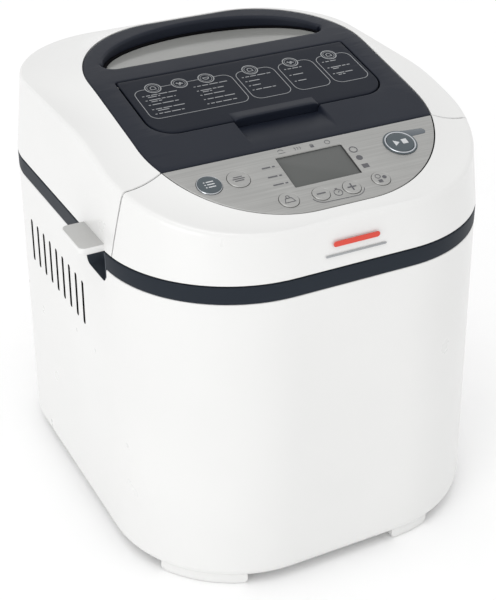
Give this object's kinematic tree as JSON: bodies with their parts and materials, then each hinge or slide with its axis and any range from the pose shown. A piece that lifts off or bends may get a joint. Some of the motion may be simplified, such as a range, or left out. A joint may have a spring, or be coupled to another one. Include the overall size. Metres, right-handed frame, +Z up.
{
  "type": "bread machine",
  "caption": "Countertop bread machine with hinged lid, viewing window, ingredient hatch and sloping button console",
  "frame": {"origin": "on the standing surface under the middle of the machine's box", "axes": "+Z up, front with the console towards -Y, +X to the right seen from the front"},
  "size_m": [0.2892, 0.3156, 0.309],
  "materials": {
    "white_plastic": "satin moulded, faint texture",
    "anthracite_plastic": "fine matt moulded",
    "grey_plastic": "satin moulded",
    "brushed_panel": "horizontally brushed",
    "blue_grey_plastic": "satin",
    "silver_button": "satin",
    "chrome_trim": "polished",
    "display_glass": "matt",
    "clear_glass": "polished",
    "coated_steel": "grey coated sheet steel",
    "plain_steel": "plain drawn steel",
    "nonstick": "dark non-stick coating",
    "rubber": "matt",
    "heater_steel": "heat-tinted",
    "circuit_board": "solder mask",
    "black_plastic": "matt",
    "bronze": "sintered",
    "lamp_lens": "smoked"
  },
  "bodies": {
    "base": {"body_shell": "white_plastic", "console_shell": "white_plastic", "trim_band": "anthracite_plastic", "hinge_cover": "anthracite_plastic", "control_panel_plate": "brushed_panel", "start_button_ring": "chrome_trim", "lcd_window": "display_glass", "lcd_module": "black_plastic", "control_pcb": "circuit_board", "power_board": "circuit_board", "tact_switches": "black_plastic", "indicator_lens": "lamp_lens", "console_rear_wall": "anthracite_plastic", "top_deck": "grey_plastic", "oven_liner": "coated_steel", "heating_element": "heater_steel", "temp_sensor": "plain_steel", "bearing_bush": "bronze", "motor_body": "coated_steel", "motor_bracket": "plain_steel", "drive_belt": "rubber", "base_plate": "black_plastic", "case_screws": "plain_steel", "front_foot_left": "white_plastic", "front_foot_right": "white_plastic", "rear_feet": "white_plastic", "cord_inlet": "black_plastic"},
    "lid": {"lid_shell": "white_plastic", "lid_cover": "anthracite_plastic", "window_gasket": "rubber", "window_glass": "clear_glass", "lid_liner": "coated_steel", "inner_glass": "clear_glass", "lid_seal": "rubber", "dispenser_box": "grey_plastic", "lid_grip_left": "grey_plastic", "lid_grip_right": "grey_plastic", "hatch_pin": "plain_steel", "flap_pin": "plain_steel", "flap_solenoid": "black_plastic", "lid_hinge_pin": "plain_steel"},
    "hatch": {"dispenser_hatch": "anthracite_plastic"},
    "flap": {"dispenser_flap": "grey_plastic"},
    "pan": {"bread_pan": "nonstick", "shaft_seal": "rubber"},
    "handle": {"pan_handle": "plain_steel"},
    "pan_spindle": {"pan_shaft": "plain_steel"},
    "kneader": {"paddle": "nonstick"},
    "drive": {"drive_shaft": "plain_steel", "large_pulley": "black_plastic"},
    "rotor": {"motor_shaft": "plain_steel", "pinion_pulley": "plain_steel"},
    "menu_key": {"menu_button": "blue_grey_plastic"},
    "select_key": {"select_button": "silver_button"},
    "weight_key": {"weight_button": "silver_button"},
    "minus_key": {"minus_button": "silver_button"},
    "plus_key": {"plus_button": "silver_button"},
    "crust_key": {"crust_button": "silver_button"},
    "start_key": {"start_button": "blue_grey_plastic"}
  },
  "joints": [
    {"name": "lid_hinge", "type": "hinge", "parent": "base", "child": "lid", "pos_m": [0, 0.142, 0.242], "axis": [-1, 0, 0], "range_deg": [0, 75]},
    {"name": "hatch_hinge", "type": "hinge", "parent": "lid", "child": "hatch", "pos_m": [0, 0.0088, 0.2981], "axis": [-1, 0, 0], "range_deg": [0, 95]},
    {"name": "flap_hinge", "type": "hinge", "parent": "lid", "child": "flap", "pos_m": [0, -0.003, 0.253], "axis": [1, 0, 0], "range_deg": [0, 80], "stiffness_Nm_per_rad": 0.01, "springref_deg": -34.38},
    {"name": "pan_lift", "type": "slide", "parent": "base", "child": "pan", "axis": [0, 0, 1], "range_m": [0, 0.012]},
    {"name": "handle_hinge", "type": "hinge", "parent": "pan", "child": "handle", "pos_m": [0, 0.03, 0.2075], "axis": [-1, 0, 0], "range_deg": [0, 18]},
    {"name": "spindle_spin", "type": "hinge", "parent": "pan", "child": "pan_spindle", "pos_m": [0, 0.03, 0.066], "axis": [0, 0, 1], "continuous": true},
    {"name": "paddle_lift", "type": "slide", "parent": "pan_spindle", "child": "kneader", "axis": [0, 0, 1], "range_m": [0, 0.024]},
    {"name": "drive_spin", "type": "hinge", "parent": "base", "child": "drive", "pos_m": [0, 0.03, 0.03], "axis": [0, 0, 1], "continuous": true},
    {"name": "motor_spin", "type": "hinge", "parent": "base", "child": "rotor", "pos_m": [0, -0.105, 0.03], "axis": [0, 0, 1], "continuous": true},
    {"name": "menu_press", "type": "slide", "parent": "base", "child": "menu_key", "axis": [0, 0.3049, -0.9524], "range_m": [0, 0.0008], "stiffness_N_per_m": 900, "springref_m": -0.0006},
    {"name": "select_press", "type": "slide", "parent": "base", "child": "select_key", "axis": [0, 0.3049, -0.9524], "range_m": [0, 0.0008], "stiffness_N_per_m": 900, "springref_m": -0.0006},
    {"name": "weight_press", "type": "slide", "parent": "base", "child": "weight_key", "axis": [0, 0.3049, -0.9524], "range_m": [0, 0.0008], "stiffness_N_per_m": 900, "springref_m": -0.0006},
    {"name": "minus_press", "type": "slide", "parent": "base", "child": "minus_key", "axis": [0, 0.3049, -0.9524], "range_m": [0, 0.0008], "stiffness_N_per_m": 900, "springref_m": -0.0006},
    {"name": "plus_press", "type": "slide", "parent": "base", "child": "plus_key", "axis": [0, 0.3049, -0.9524], "range_m": [0, 0.0008], "stiffness_N_per_m": 900, "springref_m": -0.0006},
    {"name": "crust_press", "type": "slide", "parent": "base", "child": "crust_key", "axis": [0, 0.3049, -0.9524], "range_m": [0, 0.0008], "stiffness_N_per_m": 900, "springref_m": -0.0006},
    {"name": "start_press", "type": "slide", "parent": "base", "child": "start_key", "axis": [0, 0.3049, -0.9524], "range_m": [0, 0.0008], "stiffness_N_per_m": 900, "springref_m": -0.0006}
  ],
  "couplings": [
    {"joint": "motor_spin", "follows": "drive_spin", "ratio": 5.5},
    {"joint": "spindle_spin", "follows": "drive_spin", "ratio": 1}
  ]
}
